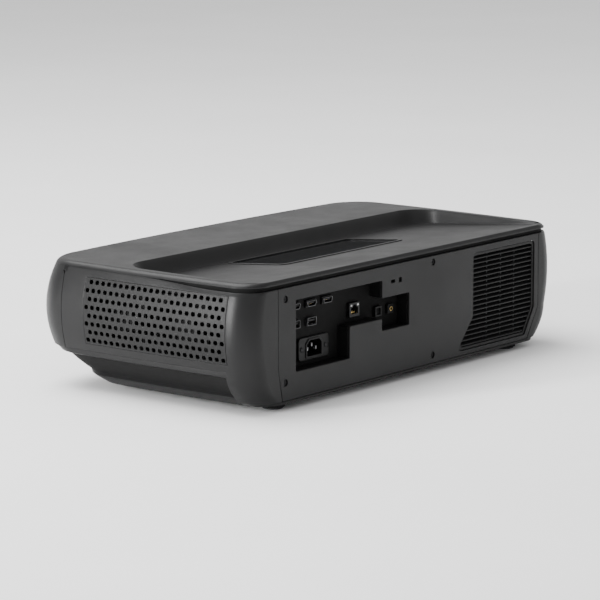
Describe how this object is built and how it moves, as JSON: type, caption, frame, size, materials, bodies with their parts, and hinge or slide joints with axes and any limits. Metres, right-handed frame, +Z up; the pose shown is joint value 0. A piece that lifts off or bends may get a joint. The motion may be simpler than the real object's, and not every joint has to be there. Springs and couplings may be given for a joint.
{
  "type": "home projector",
  "caption": "Low, wide ultra-short-throw home projector on four screw feet, with a sunken beam deck, perforated ends, a rear connector bay and an exhaust vent.",
  "frame": {"origin": "centre of the footprint, on the surface the feet stand on", "axes": "+X along the long side, towards the end nearest the connector bay; +Y towards the rear, where the connectors and the screen are; +Z up"},
  "size_m": [0.5596, 0.304, 0.138],
  "materials": {
    "shell_plastic": "fine matte texture, charcoal",
    "deck_plastic": "satin, charcoal",
    "grille_plastic": "matte, perforated",
    "window_glass": "polished, dark tinted",
    "indicator": "frosted light guide",
    "black_plastic": "black, fine texture",
    "connector_steel": "plated steel",
    "stud_steel": "zinc plated",
    "cast_aluminium": "cast and machined",
    "circuit_board": "solder mask",
    "lens_glass": "coated, clear",
    "mirror_coat": "front-coated mirror",
    "phosphor": "phosphor layer on aluminium",
    "coated_glass": "dichroic coating",
    "foot_rubber": "matte rubber"
  },
  "bodies": {
    "casing": {"audio_jack": "black_plastic", "base_tray": "shell_plastic", "chassis_plate": "connector_steel", "colour_wheel_motor": "connector_steel", "concave_mirror": "mirror_coat", "connector_bay": "black_plastic", "connector_plate": "black_plastic", "end_cover_left": "shell_plastic", "end_cover_right": "shell_plastic", "end_grille_left": "grille_plastic", "end_grille_right": "grille_plastic", "exhaust_fan_frame": "black_plastic", "focus_motor": "connector_steel", "front_fascia": "shell_plastic", "front_grille": "grille_plastic", "front_lens_element": "lens_glass", "hdmi_port_1": "connector_steel", "hdmi_port_2": "connector_steel", "hdmi_port_3": "connector_steel", "imaging_chip_board": "circuit_board", "infrared_window": "window_glass", "intake_fan_front_frame": "black_plastic", "intake_fan_rear_frame": "black_plastic", "laser_heat_sink": "cast_aluminium", "laser_module": "cast_aluminium", "lens_barrel": "black_plastic", "light_engine_housing": "cast_aluminium", "loudspeaker_left": "black_plastic", "loudspeaker_right": "black_plastic", "main_board": "circuit_board", "network_port": "connector_steel", "optical_audio_port": "black_plastic", "phosphor_wheel_motor": "connector_steel", "power_inlet": "black_plastic", "power_supply": "circuit_board", "power_switch": "black_plastic", "projection_window": "window_glass", "rear_panel": "shell_plastic", "rear_vent_grille": "grille_plastic", "status_light": "indicator", "top_cover": "shell_plastic", "top_deck": "deck_plastic", "usb_port_1": "connector_steel", "usb_port_2": "connector_steel"},
    "intake_fan_front_rotor": {"intake_fan_front_impeller": "black_plastic"},
    "intake_fan_rear_rotor": {"intake_fan_rear_impeller": "black_plastic"},
    "exhaust_fan_rotor": {"exhaust_fan_impeller": "black_plastic"},
    "phosphor_wheel": {"phosphor_wheel": "phosphor"},
    "colour_wheel": {"colour_wheel": "coated_glass"},
    "focus_ring": {"focus_ring": "black_plastic"},
    "focus_pinion": {"focus_pinion": "connector_steel"},
    "power_button": {"power_button": "black_plastic"},
    "foot_stud_rear_right": {"foot_stud_rear_right": "stud_steel"},
    "foot_pad_rear_right": {"foot_pad_rear_right": "foot_rubber"},
    "foot_stud_rear_left": {"foot_stud_rear_left": "stud_steel"},
    "foot_pad_rear_left": {"foot_pad_rear_left": "foot_rubber"},
    "foot_stud_front_right": {"foot_stud_front_right": "stud_steel"},
    "foot_pad_front_right": {"foot_pad_front_right": "foot_rubber"},
    "foot_stud_front_left": {"foot_stud_front_left": "stud_steel"},
    "foot_pad_front_left": {"foot_pad_front_left": "foot_rubber"}
  },
  "joints": [
    {"name": "intake_fan_front_spin", "type": "hinge", "parent": "casing", "child": "intake_fan_front_rotor", "pos_m": [0.238, -0.042, 0.078], "axis": [1, 0, 0], "continuous": true},
    {"name": "intake_fan_rear_spin", "type": "hinge", "parent": "casing", "child": "intake_fan_rear_rotor", "pos_m": [0.238, 0.044, 0.078], "axis": [1, 0, 0], "continuous": true},
    {"name": "exhaust_fan_spin", "type": "hinge", "parent": "casing", "child": "exhaust_fan_rotor", "pos_m": [-0.238, 0.044, 0.078], "axis": [1, 0, 0], "continuous": true},
    {"name": "phosphor_wheel_spin", "type": "hinge", "parent": "casing", "child": "phosphor_wheel", "pos_m": [-0.09, 0.08, 0.05], "axis": [1, 0, 0], "continuous": true},
    {"name": "colour_wheel_spin", "type": "hinge", "parent": "casing", "child": "colour_wheel", "pos_m": [-0.076, 0.02, 0.062], "axis": [1, 0, 0], "continuous": true},
    {"name": "focus_ring_turn", "type": "hinge", "parent": "casing", "child": "focus_ring", "pos_m": [0, 0.006, 0.076], "axis": [0, 1, 0], "range_deg": [-20, 20]},
    {"name": "focus_pinion_turn", "type": "hinge", "parent": "casing", "child": "focus_pinion", "pos_m": [0.0375, 0.006, 0.076], "axis": [0, 1, 0], "range_deg": [-81, 81]},
    {"name": "power_button_press", "type": "slide", "parent": "casing", "child": "power_button", "axis": [1, 0, 0], "range_m": [0, 0.0012], "stiffness_N_per_m": 500, "springref_m": -0.0008},
    {"name": "foot_lift_rear_right", "type": "slide", "parent": "casing", "child": "foot_stud_rear_right", "axis": [0, 0, -1], "range_m": [0, 0.005]},
    {"name": "foot_turn_rear_right", "type": "hinge", "parent": "foot_stud_rear_right", "child": "foot_pad_rear_right", "pos_m": [0.207, 0.129, 0.003], "axis": [0, 0, 1], "range_deg": [0, 1450]},
    {"name": "foot_lift_rear_left", "type": "slide", "parent": "casing", "child": "foot_stud_rear_left", "axis": [0, 0, -1], "range_m": [0, 0.005]},
    {"name": "foot_turn_rear_left", "type": "hinge", "parent": "foot_stud_rear_left", "child": "foot_pad_rear_left", "pos_m": [-0.207, 0.129, 0.003], "axis": [0, 0, 1], "range_deg": [0, 1450]},
    {"name": "foot_lift_front_right", "type": "slide", "parent": "casing", "child": "foot_stud_front_right", "axis": [0, 0, -1], "range_m": [0, 0.005]},
    {"name": "foot_turn_front_right", "type": "hinge", "parent": "foot_stud_front_right", "child": "foot_pad_front_right", "pos_m": [0.195, -0.068, 0.003], "axis": [0, 0, 1], "range_deg": [0, 1450]},
    {"name": "foot_lift_front_left", "type": "slide", "parent": "casing", "child": "foot_stud_front_left", "axis": [0, 0, -1], "range_m": [0, 0.005]},
    {"name": "foot_turn_front_left", "type": "hinge", "parent": "foot_stud_front_left", "child": "foot_pad_front_left", "pos_m": [-0.195, -0.068, 0.003], "axis": [0, 0, 1], "range_deg": [0, 1450]}
  ],
  "couplings": [
    {"joint": "colour_wheel_spin", "follows": "phosphor_wheel_spin", "ratio": 1},
    {"joint": "focus_pinion_turn", "follows": "focus_ring_turn", "ratio": -4},
    {"joint": "foot_turn_rear_right", "follows": "foot_lift_rear_right", "rad_per_m": 5026.5},
    {"joint": "foot_turn_rear_left", "follows": "foot_lift_rear_left", "rad_per_m": 5026.5},
    {"joint": "foot_turn_front_right", "follows": "foot_lift_front_right", "rad_per_m": 5026.5},
    {"joint": "foot_turn_front_left", "follows": "foot_lift_front_left", "rad_per_m": 5026.5}
  ]
}
